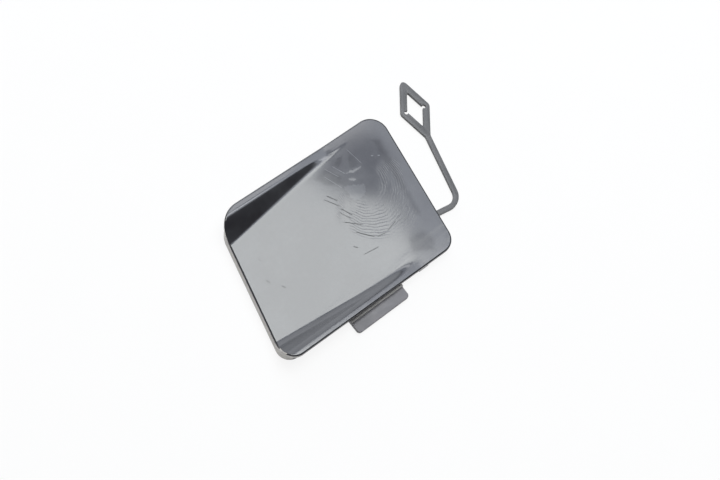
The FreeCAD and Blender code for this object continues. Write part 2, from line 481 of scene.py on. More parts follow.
    def blend(self, factor: Value, first: Union[Socket, tuple], second: Union[Socket, tuple]) -> Socket:
        """Mix of two colours.

        Args:
            factor: Share of the second colour.
            first: First colour.
            second: Second colour.

        Returns:
            The mixed colour.
        """
        node = self.add("ShaderNodeMix", data_type="RGBA")
        self.feed(node.inputs["Factor"], factor)
        self.feed(node.inputs["A"], first)
        self.feed(node.inputs["B"], second)
        return node.outputs["Result"]

    def bump(
        self, height: Socket, strength: float, distance: float, below: Optional[Socket] = None,
    ) -> Socket:
        """Normal shifted by a height.

        Args:
            height: Height between zero and one.
            strength: Share of the shift that is used.
            distance: Real height of one unit.
            below: Normal that this one is laid over.

        Returns:
            The shifted normal.
        """
        node = self.add("ShaderNodeBump")
        node.inputs["Strength"].default_value = strength
        node.inputs["Distance"].default_value = distance
        self.feed(node.inputs["Height"], height)
        if below is not None:
            self.feed(node.inputs["Normal"], below)
        return node.outputs["Normal"]

    def surface(self, **inputs: object) -> bpy.types.Material:
        """Ends the tree in a Principled shader.

        Args:
            inputs: Values or sockets of the shader's inputs, named with underscores.

        Returns:
            The finished material.
        """
        shader = self.add("ShaderNodeBsdfPrincipled")
        for name, source in inputs.items():
            self.feed(shader.inputs[name.replace("_", " ")], source)
        output = self.add("ShaderNodeOutputMaterial")
        self.tree.links.new(shader.outputs["BSDF"], output.inputs["Surface"])
        return self.material


@dataclass(frozen=True)
class Mark:
    """One straight mark in the paint, from point to point in the plan, in millimetres."""

    start: tuple[float, float]
    end: tuple[float, float]
    width: float

    def stroke(self, sheet: ShaderSheet) -> Socket:
        """Draws the mark as an even stroke.

        Args:
            sheet: Material to draw in.

        Returns:
            The mask of the mark.
        """
        first = Vector((*self.start, 0.0)) * MM
        last = Vector((*self.end, 0.0)) * MM
        run = last - first
        return sheet.stroke((first + last) / 2, math.atan2(run.y, run.x), run.length, self.width * MM)


@dataclass(frozen=True)
class Patch:
    """One patch of the paint with straight, ragged edges, in millimetres, used for wear and for painted
    shade.

    Attributes:
        corners: Corners of a convex patch in the plan, clockwise.
        soft: Width of the fade inside its edges.
        ragged: How far the edges stray to either side.
        grain: Cycles of the ragged edges in a metre.
    """

    corners: tuple[tuple[float, float], ...]
    soft: float = 0.5
    ragged: float = 1.2
    grain: float = 600.0

    def mask(self, sheet: ShaderSheet) -> Socket:
        """Draws the patch.

        Args:
            sheet: Material to draw in.

        Returns:
            The mask of the patch.
        """
        x, y = sheet.split(sheet.mapped(ORIGIN, 0.0, (MM, MM, MM)))
        swing = sheet.maths("SUBTRACT", sheet.noise(sheet.point(), self.grain, 3.0, 0.6), 0.5)
        swing = sheet.maths("MULTIPLY", swing, 2 * self.ragged)
        total: Value = 1.0
        for start, end in zip(self.corners, self.corners[1:] + self.corners[:1]):
            run = (Vector(end) - Vector(start)).normalized()
            depth = sheet.maths("MULTIPLY", sheet.maths("SUBTRACT", x, start[0]), run.y)
            shift = sheet.maths("MULTIPLY", sheet.maths("SUBTRACT", y, start[1]), run.x)
            depth = sheet.maths("ADD", sheet.maths("SUBTRACT", depth, shift), swing)
            total = sheet.maths("MINIMUM", sheet.fade(depth, 0.0, self.soft), total)
        return total


@dataclass(frozen=True)
class Wear:
    """What one kind of wear, or the painted shade, does to the paint, as shares from zero to one.

    Attributes:
        tint: How far its colour covers the paint.
        rough: How far it roughens the paint.
        dull: How much of the gloss it takes away.
    """

    tint: float = 0.0
    rough: float = 0.0
    dull: float = 0.0


@dataclass(frozen=True)
class GlossPaint:
    """Dark gloss paint of the face, with the wear of use, painted glints on its scuff arcs, and painted
    shade that dims its gloss where dark reflections fall.
    """

    colour: tuple[float, float, float, float] = (0.022, 0.021, 0.024, 1.0)
    haze: tuple[float, float, float, float] = (0.045, 0.046, 0.05, 1.0)
    pale: tuple[float, float, float, float] = (0.3, 0.31, 0.32, 1.0)
    bare: tuple[float, float, float, float] = (0.012, 0.012, 0.012, 1.0)
    roughness: float = 0.07
    rough: float = 0.45
    index: float = 1.65
    cloud_scale: float = 45.0
    peel_scale: float = 420.0
    streak_wear: Wear = Wear(tint=0.6, rough=0.3)
    rubbed_wear: Wear = Wear(tint=0.13, rough=0.3)
    film_wear: Wear = Wear(tint=0.18)
    pale_wear: Wear = Wear(tint=0.4)
    # Scuffs: real scratches in roughness and bump, with a slight pale tint that paints their glint.
    scuff_wear_and_glint: Wear = Wear(tint=0.06, rough=0.6)
    dark_wear: Wear = Wear(tint=1.0, rough=0.6, dull=0.8)
    dull_wear: Wear = Wear(dull=0.3)
    # Painted shade: dims the gloss inside the shade patches.
    painted_shade: Wear = Wear(dull=0.32)
    streak_size: tuple[float, float] = (60.0, 1.6)
    streak_turn: float = math.radians(4.0)
    streak_side: tuple[float, float] = (-24.0, -22.0)
    # The scuff arcs are laid round the key light's reflection on the face, a painted glint.
    key_highlight_point: tuple[float, float] = (23.0, 16.1)
    scuff_skew: float = 0.45
    scuff_period: float = 0.75
    scuff_wobble: float = 1.3
    scuff_side: tuple[float, float] = (-7.0, 0.0)
    scuff_reach: tuple[float, float, float, float] = (6.5, 9.0, 16.5, 19.0)
    dark_marks: tuple[Mark, ...] = (
        Mark((-36.6, 0.4), (-35.8, -1.4), 0.3),
        Mark((-32.9, -5.0), (-32.0, -6.8), 0.3),
        Mark((-33.6, 9.4), (-33.0, 8.2), 0.2),
        Mark((2.8, -14.4), (11.2, -15.5), 0.3),
        Mark((1.9, -9.1), (3.3, -10.7), 0.4),
        Mark((6.6, 15.2), (9.4, 10.3), 0.4),
        Mark((4.6, 14.6), (8.8, 7.6), 0.35),
        Mark((8.1, 7.2), (10.6, 1.6), 0.4),
        Mark((6.4, 6.4), (9.2, 0.6), 0.3),
        Mark((4.9, 2.1), (11.6, -4.2), 0.35),
        Mark((6.5, -4.4), (12.5, -11.5), 0.4),
        Mark((12.8, -11.6), (17.6, -12.4), 0.3),
        Mark((17.8, -12.3), (24.2, -10.6), 0.3),
    )
    pale_marks: tuple[Mark, ...] = (
        Mark((13.4, 25.4), (16.6, 18.4), 0.3),
        Mark((16.8, 24.7), (19.7, 18.0), 0.3),
        Mark((11.2, 22.6), (14.6, 13.5), 0.25),
        Mark((27.1, 27.1), (28.6, 17.5), 0.25),
        Mark((34.0, 18.4), (35.0, 17.8), 0.7),
        Mark((36.5, 16.9), (37.5, 16.3), 0.6),
    )
    rubbed: tuple[Patch, ...] = (
        Patch(((19.5, 18.1), (21.8, 18.4), (28.4, 17.2), (25.7, 16.3), (22.9, 16.4))),
        Patch(((18.3, 16.3), (20.0, 15.9), (23.3, 12.8), (20.9, 13.4), (19.0, 14.7))),
    )
    dull: tuple[Patch, ...] = (
        Patch(((27.1, 25.6), (28.2, 17.5), (22.2, 18.6), (24.0, 22.6)), 0.8, 0.8),
        Patch(((21.6, 26.4), (24.8, 25.8), (22.4, 23.4), (19.3, 21.4), (17.1, 24.2)), 0.8, 0.8),
    )
    film: Patch = Patch(
        ((15.1, 14.4), (19.2, 13.1), (23.8, 10.2), (22.1, 6.5), (16.9, 4.8), (14.2, 8.7)), 1.0,
    )
    # Painted shade: patches that dim the gloss, standing in for dark reflections beside the lamps.
    shade: tuple[Patch, ...] = (
        Patch(((5.5, 24.7), (14.7, 26.9), (19.4, 17.7), (16.4, 14.5), (13.3, 14.3), (7.9, 18.6)), 2.5),
        Patch(((22.0, -18.0), (32.0, -18.0), (36.0, -26.0), (30.0, -33.0), (18.0, -27.0)), 4.0),
        Patch(((37.6, 26.0), (44.8, 24.0), (36.4, -18.0), (31.0, -14.0)), 3.4),
    )

    def scuff_glints(self, sheet: ShaderSheet) -> Socket:
        """Draws fine scratches rubbed into the paint as nested arcs round the key light's reflection,
        broken and fading out to the sides; the arcs and their slight pale tint are a painted glint.

        Args:
            sheet: Material to draw in.

        Returns:
            The mask of the arcs.
        """
        focus = Vector((*self.key_highlight_point, 0.0)) * MM
        point = sheet.mapped(focus, 0.0, (MM, MM, MM))
        x, y = sheet.split(point)
        wobble = sheet.maths("MULTIPLY", sheet.noise(point, 0.22, 3.0, 0.55), self.scuff_wobble)
        level = sheet.maths("ADD", sheet.length(point), sheet.maths("MULTIPLY", y, self.scuff_skew))
        near, full, far, none = self.scuff_reach
        ends = sheet.fade(level, far, none, 1.0, 0.0)
        reach = sheet.maths("MULTIPLY", sheet.fade(level, near, full), ends)
        sector = sheet.fade(y, *self.scuff_side, 1.0, 0.0)
        turns = sheet.maths("MULTIPLY", sheet.maths("ADD", level, wobble), 2 * math.pi / self.scuff_period)
        lines = sheet.fade(sheet.maths("SINE", turns), 0.35, 0.95)
        broken = sheet.fade(sheet.noise(sheet.mapped(focus, 0.9, (9 * MM, 3 * MM, MM)), 0.6), 0.38, 0.6)
        zone = sheet.maths("MULTIPLY", reach, sector)
        return sheet.maths("MULTIPLY", sheet.maths("MULTIPLY", lines, broken), zone)

    def streaks(self, sheet: ShaderSheet) -> Socket:
        """Draws polishing streaks along the lower flank.

        Args:
            sheet: Material to draw in.

        Returns:
            The mask of the streaks.
        """
        length, width = self.streak_size
        point = sheet.mapped(ORIGIN, self.streak_turn, (length * MM, width * MM, width * MM))
        _, y = sheet.split(sheet.mapped(ORIGIN, 0.0, (MM, MM, MM)))
        zone = sheet.fade(y, *self.streak_side, 1.0, 0.0)
        return sheet.maths("MULTIPLY", sheet.fade(sheet.noise(point, 1.0, 3.0), 0.35, 0.65), zone)

    def material(self) -> bpy.types.Material:
        """Builds the paint with its wear, its painted glints and its painted shade, layer by layer.

        Returns:
            The material.
        """
        sheet = ShaderSheet("gloss_paint")
        cloud = sheet.noise(sheet.point(), self.cloud_scale, 4.0, 0.6)
        peel = sheet.noise(sheet.point(), self.peel_scale)
        scuff_glints = self.scuff_glints(sheet)
        dark = sheet.join(mark.stroke(sheet) for mark in self.dark_marks)
        pale = sheet.join(mark.stroke(sheet) for mark in self.pale_marks)
        rubbed = sheet.join(patch.mask(sheet) for patch in self.rubbed)
        dull = sheet.join(patch.mask(sheet) for patch in self.dull)
        shade = sheet.join(patch.mask(sheet) for patch in self.shade)
        layers = (
            (self.streaks(sheet), self.streak_wear, self.haze),
            (rubbed, self.rubbed_wear, self.pale),
            (self.film.mask(sheet), self.film_wear, self.pale),
            (pale, self.pale_wear, self.pale),
            # Scuff layer: real scratches, with a slight pale tint as painted glint round the highlight.
            (scuff_glints, self.scuff_wear_and_glint, self.pale),
            (dark, self.dark_wear, self.bare),
            (dull, self.dull_wear, self.bare),
            # Painted shade layer: the shade patches dim the paint's gloss.
            (shade, self.painted_shade, self.bare),
        )
        colour = sheet.blend(sheet.fade(cloud, 0.35, 0.75), self.colour, self.haze)
        worn: Value = 0.0
        dulled_and_shaded: Value = 0.0
        for mask, wear, tint in layers:
            if wear.tint > 0.0:
                colour = sheet.blend(sheet.maths("MULTIPLY", mask, wear.tint), colour, tint)
            if wear.rough > 0.0:
                worn = sheet.maths("MAXIMUM", sheet.maths("MULTIPLY", mask, wear.rough), worn)
            if wear.dull > 0.0:
                dulled_and_shaded = sheet.maths("MAXIMUM", sheet.maths("MULTIPLY", mask, wear.dull), dulled_and_shaded)
        base = sheet.fade(cloud, 0.3, 0.8, self.roughness, self.roughness + 0.05)
        roughness = sheet.maths("ADD", base, sheet.maths("MULTIPLY", worn, self.rough))
        # Gloss drops where the paint is dulled and where the painted shade dims its reflection.
        specular = sheet.fade(sheet.maths("SUBTRACT", dulled_and_shaded, rubbed, True), 0.0, 1.0, 0.5, 0.0)
        normal = sheet.bump(peel, 0.04, 0.02 * MM)
        normal = sheet.bump(scuff_glints, 0.5, 0.01 * MM, normal)
        return sheet.surface(
            Base_Color=colour, Roughness=roughness, IOR=self.index, Specular_IOR_Level=specular,
            Normal=normal,
        )


@dataclass(frozen=True)
class SatinPlastic:
    """Moulded plastic of the strap, the tongue and the back, and a lighter copy that paints a highlight on
    the tongue's ledge.
    """

    name: str
    colour: tuple[float, float, float, float]
    worn: tuple[float, float, float, float]
    roughness: float = 0.5
    cloud_scale: float = 140.0
    grain_scale: float = 2600.0
    grain_depth: float = 0.03 * MM

    def material(self) -> bpy.types.Material:
        """Builds the plastic with its clouds and its grain.

        Returns:
            The material.
        """
        sheet = ShaderSheet(self.name)
        cloud = sheet.noise(sheet.point(), self.cloud_scale, 3.0)
        grain = sheet.noise(sheet.point(), self.grain_scale)
        colour = sheet.blend(sheet.fade(cloud, 0.35, 0.7), self.colour, self.worn)
        roughness = sheet.fade(grain, 0.3, 0.7, self.roughness - 0.05, self.roughness + 0.08)
        normal = sheet.bump(grain, 0.25, self.grain_depth)
        return sheet.surface(Base_Color=colour, Roughness=roughness, Normal=normal)


def bake(bm: bmesh.types.BMesh, name: str) -> bpy.types.Mesh:
    """Turns a bmesh into mesh data.

    Args:
        bm: The bmesh, which is freed.
        name: Name of the mesh.

    Returns:
        The mesh data.
    """
    mesh = bpy.data.meshes.new(name)
    bm.to_mesh(mesh)
    bm.free()
    return mesh


def add_object(name: str, data: bpy.types.ID) -> bpy.types.Object:
    """Adds an object to the scene.

    Args:
        name: Name of the object.
        data: Its mesh, light or camera.

    Returns:
        The object.
    """
    thing = bpy.data.objects.new(name, data)
    bpy.context.scene.collection.objects.link(thing)
    return thing


def merge(bm: bmesh.types.BMesh, other: bmesh.types.BMesh) -> None:
    """Adds a second mesh to a mesh.

    Args:
        bm: The mesh that grows.
        other: The mesh to add, which is freed.
    """
    mesh = bake(other, "merged")
    bm.from_mesh(mesh)
    bpy.data.meshes.remove(mesh)


def finish_mesh(
    bm: bmesh.types.BMesh, name: str, materials: Iterable[bpy.types.Material],
) -> bpy.types.Object:
    """Turns a bmesh into a piece that rides on the cover's body.

    Args:
        bm: The mesh, which is freed.
        name: Name of the piece.
        materials: Its materials, in slot order.

    Returns:
        The piece.
    """
    crisp = math.radians(50.0)
    for edge in bm.edges:
        edge.smooth = len(edge.link_faces) != 2 or edge.calc_face_angle() < crisp
    for face in bm.faces:
        face.smooth = True
    mesh = bake(bm, name)
    for material in materials:
        mesh.materials.append(material)
    piece = add_object(name, mesh)
    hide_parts(NODE)
    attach(piece, BODY)
    LOG.info("%s: %d faces", name, len(mesh.polygons))
    return piece


def round_edges(
    bm: bmesh.types.BMesh, edges: list[bmesh.types.BMEdge], width: float, segments: int,
) -> None:
    """Rounds edges of a mesh.

    Args:
        bm: The mesh.
        edges: The edges.
        width: Width of the rounding.
        segments: Number of steps across it.
    """
    bmesh.ops.bevel(
        bm, geom=edges, offset=width, offset_type="OFFSET", affect="EDGES",
        segments=segments, profile=0.5, material=-1, clamp_overlap=True,
    )


def soften(bm: bmesh.types.BMesh, width: float) -> None:
    """Rounds the crisp edges of a mesh in two steps.

    Args:
        bm: The mesh.
        width: Width of the rounding.
    """
    crisp = math.radians(30.0)
    edges = [e for e in bm.edges if len(e.link_faces) == 2 and e.calc_face_angle() > crisp]
    round_edges(bm, edges, width, 2)


def round_corner(bm: bmesh.types.BMesh, corner: bmesh.types.BMVert, radius: float, segments: int) -> None:
    """Rounds one corner of a flat face.

    Args:
        bm: The mesh.
        corner: The corner.
        radius: Radius of the corner.
        segments: Number of steps round it.
    """
    first, second = (e.other_vert(corner).co - corner.co for e in corner.link_edges)
    reach = radius / math.tan(first.angle(second) / 2)
    bmesh.ops.bevel(
        bm, geom=[corner], offset=reach, offset_type="OFFSET", affect="VERTICES",
        segments=segments, profile=0.5, material=-1,
    )


def raise_prism(bm: bmesh.types.BMesh, shift: Vector) -> None:
    """Extrudes all faces of a flat mesh into a closed prism.

    Args:
        bm: The flat mesh.
        shift: The way and the distance of the extrusion.
    """
    grown = bmesh.ops.extrude_face_region(bm, geom=list(bm.faces), use_keep_orig=True)
    verts = [g for g in grown["geom"] if isinstance(g, bmesh.types.BMVert)]
    bmesh.ops.translate(bm, verts=verts, vec=shift)
    bmesh.ops.recalc_face_normals(bm, faces=bm.faces)


def add_box(bm: bmesh.types.BMesh, low: Vector, high: Vector) -> None:
    """Adds a box to a mesh.

    Args:
        bm: The mesh.
        low: Corner with the lowest coordinates.
        high: Corner with the highest coordinates.
    """
    size = high - low
    place = Matrix.Translation((low + high) / 2) @ Matrix.Diagonal((size.x, size.y, size.z, 1.0))
    bmesh.ops.create_cube(bm, size=1.0, matrix=place)


def carve(piece: bpy.types.Object, cutter: bmesh.types.BMesh) -> None:
    """Cuts a mesh out of a piece.

    Args:
        piece: The piece, whose mesh is replaced.
        cutter: The mesh to cut away, which is freed.
    """
    mesh = bake(cutter, "cutter")
    for material in piece.data.materials:
        mesh.materials.append(material)
    tool = add_object("cutter", mesh)
    modifier = piece.modifiers.new("cut", "BOOLEAN")
    modifier.operation = "DIFFERENCE"
    modifier.solver = "EXACT"
    modifier.object = tool
    graph = bpy.context.evaluated_depsgraph_get()
    whole = piece.data
    cut = bpy.data.meshes.new_from_object(piece.evaluated_get(graph))
    cut.name = whole.name
    piece.modifiers.clear()
    piece.data = cut
    bpy.data.objects.remove(tool)
    bpy.data.meshes.remove(mesh)
    bpy.data.meshes.remove(whole)


@dataclass(frozen=True)
class Ring:
    """One closed loop of the shell's wall, from the face round the lip and the rim to the hollow."""

    insets: Insets
    level: Level
    offset: float
    coat: Coat


@dataclass
class CoverShell:
    """Painted face, lip, rim and hollow of the cover as one closed skin."""

    outline: CoverOutline
    relief: Relief
    columns: int = 72
    rows: int = 200
    edge_radius: float = 0.7 * MM
    edge_steps: int = 5
    edge_margin: float = 0.1 * MM
    lip_depth: float = 2.6 * MM
    lip_overhang: float = 1.6 * MM
    rim_thickness: float = 1.8 * MM
    skin_thickness: float = 1.8 * MM
    wall_reach: float = 2.5 * MM
    worn_corner: tuple[float, float] = (-29.6 * MM, -25.6 * MM)
    worn_share: float = 0.1
    soft: float = 0.25 * MM

    @property
    def rim_half(self) -> float:
        """Half width over the outside of the rim."""
        return self.outline.width / 2 - self.lip_overhang

    @property
    def root_half(self) -> float:
        """Half width at the middle of the rim's wall, where what stands on it is rooted."""
        return self.rim_half - self.rim_thickness / 2

    def edge_rings(self) -> list[Ring]:
        """Rounds the edge of the face.

        Returns:
            The rings of the rounding, from the face out.
        """
        rings = [Ring(Insets.even(self.edge_radius), Level.FACE, 0.0, Coat.PAINT)]
        for step in range(1, self.edge_steps + 1):
            turn = step / self.edge_steps * math.pi / 2
            inset = self.edge_radius * (1 - math.sin(turn))
            drop = self.edge_radius * (1 - math.cos(turn))
            rings.append(Ring(Insets.even(inset), Level.FACE, -drop, Coat.PAINT))
        return rings

    def wall_rings(self) -> list[Ring]:
        """Leads from the lip round the rim into the hollow.

        Returns:
            The rings, from the outside in.
        """
        over = self.lip_overhang
        inner = over + self.rim_thickness
        soft = self.soft
        lip = -self.lip_depth
        return [
            Ring(Insets(), Level.FACE, lip + soft, Coat.PAINT),
            Ring(Insets(soft, 0.0, soft), Level.FACE, lip, Coat.PAINT),
            Ring(Insets(over, 0.0, over), Level.FACE, lip, Coat.PLASTIC),
            Ring(Insets(over, 0.0, over), Level.RIM, soft, Coat.PLASTIC),
            Ring(Insets(over + soft, soft, over + soft), Level.RIM, 0.0, Coat.PLASTIC),
            Ring(
                Insets(inner - soft, self.rim_thickness - soft, inner - soft), Level.RIM, 0.0, Coat.PLASTIC,
            ),
            Ring(Insets(inner, self.rim_thickness, inner), Level.RIM, soft, Coat.PLASTIC),
            self.hollow_ring(),
        ]

    def hollow_ring(self) -> Ring:
        """Finds where the rim meets the back of the skin.

        Returns:
            The ring there.
        """
        inner = self.lip_overhang + self.rim_thickness
        insets = Insets(inner, self.rim_thickness, inner)
        return Ring(insets, Level.FACE, -self.skin_thickness, Coat.PLASTIC)

    def patch(self, ring: Ring) -> bmesh.types.BMesh:
        """Square patch that remembers its own coordinates, laid inside a ring.

        Args:
            ring: The ring that bounds the patch.

        Returns:
            The patch.
        """
        bm = bmesh.new()
        bmesh.ops.create_grid(bm, x_segments=self.columns, y_segments=self.rows, size=1.0)
        along = bm.verts.layers.float.new("along")
        across = bm.verts.layers.float.new("across")
        for vert in bm.verts:
            vert[along] = vert.co.x
            vert[across] = vert.co.y
        self.lay(bm, bm.verts, ring)
        for face in bm.faces:
            face.material_index = ring.coat.value
        return bm

    def lay(self, bm: bmesh.types.BMesh, verts: Iterable[bmesh.types.BMVert], ring: Ring) -> None:
        """Moves vertices to a ring or into it.

        Args:
            bm: The mesh.
            verts: The vertices.
            ring: The ring.
        """
        along = bm.verts.layers.float["along"]
        across = bm.verts.layers.float["across"]
        for vert in verts:
            place = self.outline.place(vert[along], vert[across], ring.insets)
            base = self.relief.height(place.x, place.y) if ring.level is Level.FACE else 0.0
            vert.co = place + UP * (base + ring.offset)

    def grow(self, bm: bmesh.types.BMesh, ring: Ring) -> None:
        """Extrudes the open edge of the shell to the next ring.

        Args:
            bm: The mesh.
            ring: The ring to reach.
        """
        rim = [e for e in bm.edges if e.is_boundary]
        grown = bmesh.ops.extrude_edge_only(bm, edges=rim)["geom"]
        verts = [g for g in grown if isinstance(g, bmesh.types.BMVert)]
        self.lay(bm, verts, ring)
        for face in (g for g in grown if isinstance(g, bmesh.types.BMFace)):
            face.material_index = ring.coat.value

    def build(self, coats: dict[Coat, bpy.types.Material]) -> bpy.types.Object:
        """Builds the shell.

        Args:
            coats: Materials of the face, of the rim and the back, and of the free end's wall.

        Returns:
            The piece.
        """
        start = Insets.even(self.edge_radius + self.edge_margin)
        bm = self.patch(Ring(start, Level.FACE, 0.0, Coat.PAINT))
        for ring in self.edge_rings() + self.wall_rings():
            self.grow(bm, ring)
        back = self.patch(self.hollow_ring())
        bmesh.ops.reverse_faces(back, faces=back.faces)
        merge(bm, back)
        bmesh.ops.remove_doubles(bm, verts=bm.verts, dist=NEAR / 10)
        bmesh.ops.recalc_face_normals(bm, faces=bm.faces)
        self.paint_free_wall(bm)
        return finish_mesh(bm, "face_and_rim", [coats[coat] for coat in Coat])

    def paint_free_wall(self, bm: bmesh.types.BMesh) -> None:
        """Gives the outside of the free end's wall its own pale coat.

        Args:
            bm: The mesh of the shell.
        """
        for face in bm.faces:
            centre = face.calc_center_median()
            edge = self.outline.row_end(End.FREE, centre.y, Insets())
            worn = self.worn_corner[0] < centre.y < self.worn_corner[1]
            bare = self.edge_radius * (self.worn_share if worn else 1.0)
            lip = self.relief.height(centre.x, centre.y) - bare
            if centre.x - edge < self.wall_reach and face.normal.x < -0.1 and centre.z < lip:
                face.material_index = Coat.WALL.value


@dataclass
class StiffeningRibs:
    """Two low ribs along the back of the skin."""

    shell: CoverShell
    thickness: float = 1.2 * MM
    height: float = 1.6 * MM
    offset: float = 11.0 * MM
    bite: float = 0.6 * MM
    rounding: float = 0.2 * MM

    def build(self, plastic: bpy.types.Material) -> bpy.types.Object:
        """Builds the ribs, let into the skin and the rim.

        Args:
            plastic: Their material.

        Returns:
            The piece.
        """
        bm = bmesh.new()
        ring = self.shell.hollow_ring()
        top = self.shell.relief.face_height - self.shell.skin_thickness
        for sign in (-1, 1):
            y = sign * self.offset
            low_x = self.shell.outline.row_end(End.FREE, y, ring.insets) - self.bite
            high_x = self.shell.outline.row_end(End.STRAP, y, ring.insets) + self.bite
            low = Vector((low_x, y - self.thickness / 2, top - self.height))
            high = Vector((high_x, y + self.thickness / 2, top + self.bite / 2))
            add_box(bm, low, high)
        soften(bm, self.rounding)
        return finish_mesh(bm, "stiffening_ribs", (plastic,))


@dataclass
class SnapHooks:
    """Barbs on the upper rim that snap behind the bumper."""

    shell: CoverShell
    centres: tuple[float, ...] = (-22.0 * MM, -2.0 * MM)
    width: float = 8.0 * MM
    reach: float = 1.3 * MM
    barb: float = 2.2 * MM
    panel_gap: float = 2.6 * MM
    slot_width: float = 1.0 * MM
    slot_height: float = 3.0 * MM
    rounding: float = 0.15 * MM

    def cut_slots(self, piece: bpy.types.Object) -> None:
        """Cuts a relief slot into the rim on both sides of each barb.

        Args:
            piece: The shell.
        """
        bm = bmesh.new()
        outer = self.shell.rim_half
        inner = outer - self.shell.rim_thickness
        for centre in self.centres:
            for sign in (-1, 1):
                x = centre + sign * (self.width + self.slot_width) / 2
                low = Vector((x - self.slot_width / 2, inner - MM, -MM))
                high = Vector((x + self.slot_width / 2, outer + MM, self.slot_height))
                add_box(bm, low, high)
        for face in bm.faces:
            face.material_index = Coat.PLASTIC.value
        carve(piece, bm)

    def build(self, plastic: bpy.types.Material) -> bpy.types.Object:
        """Builds the barbs, let into the rim.

        Args:
            plastic: Their material.

        Returns:
            The piece.
        """
        bm = bmesh.new()
        outer = self.shell.rim_half
        root = self.shell.root_half
        for centre in self.centres:
            crest = self.shell.relief.height(centre + self.width / 2, outer)
            shoulder = crest - self.shell.lip_depth - self.panel_gap
            profile = (
                (root, shoulder),
                (outer + self.reach, shoulder),
                (outer + self.reach, shoulder - self.barb / 4),
                (outer, shoulder - self.barb),
                (root, shoulder - self.barb),
            )
            hook = bmesh.new()
            x = centre - self.width / 2
            hook.faces.new([hook.verts.new((x, y, z)) for y, z in profile])
            raise_prism(hook, Vector((self.width, 0.0, 0.0)))
            soften(hook, self.rounding)
            merge(bm, hook)
        return finish_mesh(bm, "snap_hooks", (plastic,))


@dataclass
class Tongue:
    """Tongue on the lower long edge, with a raised ledge along its root."""

    shell: CoverShell
    centre: float = -4.7 * MM
    length: float = 27.5 * MM
    reach: float = 5.9 * MM
    top: float = 2.6 * MM
    thickness: float = 2.0 * MM
    corner: float = 1.6 * MM
    ledge_reach: float = 0.9 * MM
    ledge_height: float = 1.5 * MM
    ledge_blend: float = 0.9 * MM
    rounding: float = 0.25 * MM

    def build(self, plastic: bpy.types.Material, pale: bpy.types.Material) -> bpy.types.Object:
        """Builds the tongue from its profile.

        Args:
            plastic: Material of the tongue.
            pale: Lighter copy of the plastic on the top of its ledge, a painted highlight.

        Returns:
            The piece.
        """
        bm = bmesh.new()
        edge = -self.shell.outline.width / 2
        root = -self.shell.root_half
        tip = edge - self.reach
        step = edge - self.ledge_reach
        x = self.centre - self.length / 2
        bottom = self.top - self.thickness
        crest = self.top + self.ledge_height
        profile = (
            (root, bottom), (tip, bottom), (tip, self.top), (step, self.top), (step, crest), (root, crest),
        )
        verts = [bm.verts.new((x, y, z)) for y, z in profile]
        bm.faces.new(verts)
        round_corner(bm, verts[3], self.ledge_blend, 5)
        raise_prism(bm, Vector((self.length, 0.0, 0.0)))
        corners = [e for e in bm.edges if all(abs(v.co.y - tip) < NEAR for v in e.verts)]
        upright = [e for e in corners if abs(e.verts[0].co.x - e.verts[1].co.x) < NEAR]
        round_edges(bm, upright, self.corner, 6)
        soften(bm, self.rounding)
        # The ledge's up-facing top takes the lighter copy, a painted highlight for the light that falls
        # there.
        for face in bm.faces:
            on_ledge = face.calc_center_median().z > crest - self.rounding
            face.material_index = int(on_ledge and face.normal.z > 0.6)
        return finish_mesh(bm, "tongue", (plastic, pale))


@dataclass
class LocatingNib:
    """Small nib under the lip beside the tongue."""

    shell: CoverShell
    centre: float = 21.8 * MM
    length: float = 5.0 * MM
    top: float = 2.9 * MM
    thickness: float = 1.6 * MM
    rounding: float = 0.2 * MM

    def build(self, plastic: bpy.types.Material) -> bpy.types.Object:
        """Builds the nib, let into the rim.

        Args:
            plastic: Its material.

        Returns:
            The piece.
        """
        bm = bmesh.new()
        edge = -self.shell.outline.width / 2
        low = Vector((self.centre - self.length / 2, edge, self.top - self.thickness))
        high = Vector((self.centre + self.length / 2, -self.shell.root_half, self.top))
        add_box(bm, low, high)
        soften(bm, self.rounding)
        return finish_mesh(bm, "locating_nib", (plastic,))


def meet(point_a: Vector, along_a: Vector, point_b: Vector, along_b: Vector) -> Vector:
    """Point where two lines in the plan cross.

    Args:
        point_a: Point of the first line.
        along_a: Direction of the first line.
        point_b: Point of the second line.
        along_b: Direction of the second line.

    Returns:
        The crossing.
    """
    cross = along_a.x * along_b.y - along_a.y * along_b.x
    gap = point_b - point_a
    return point_a + along_a * ((gap.x * along_b.y - gap.y * along_b.x) / cross)


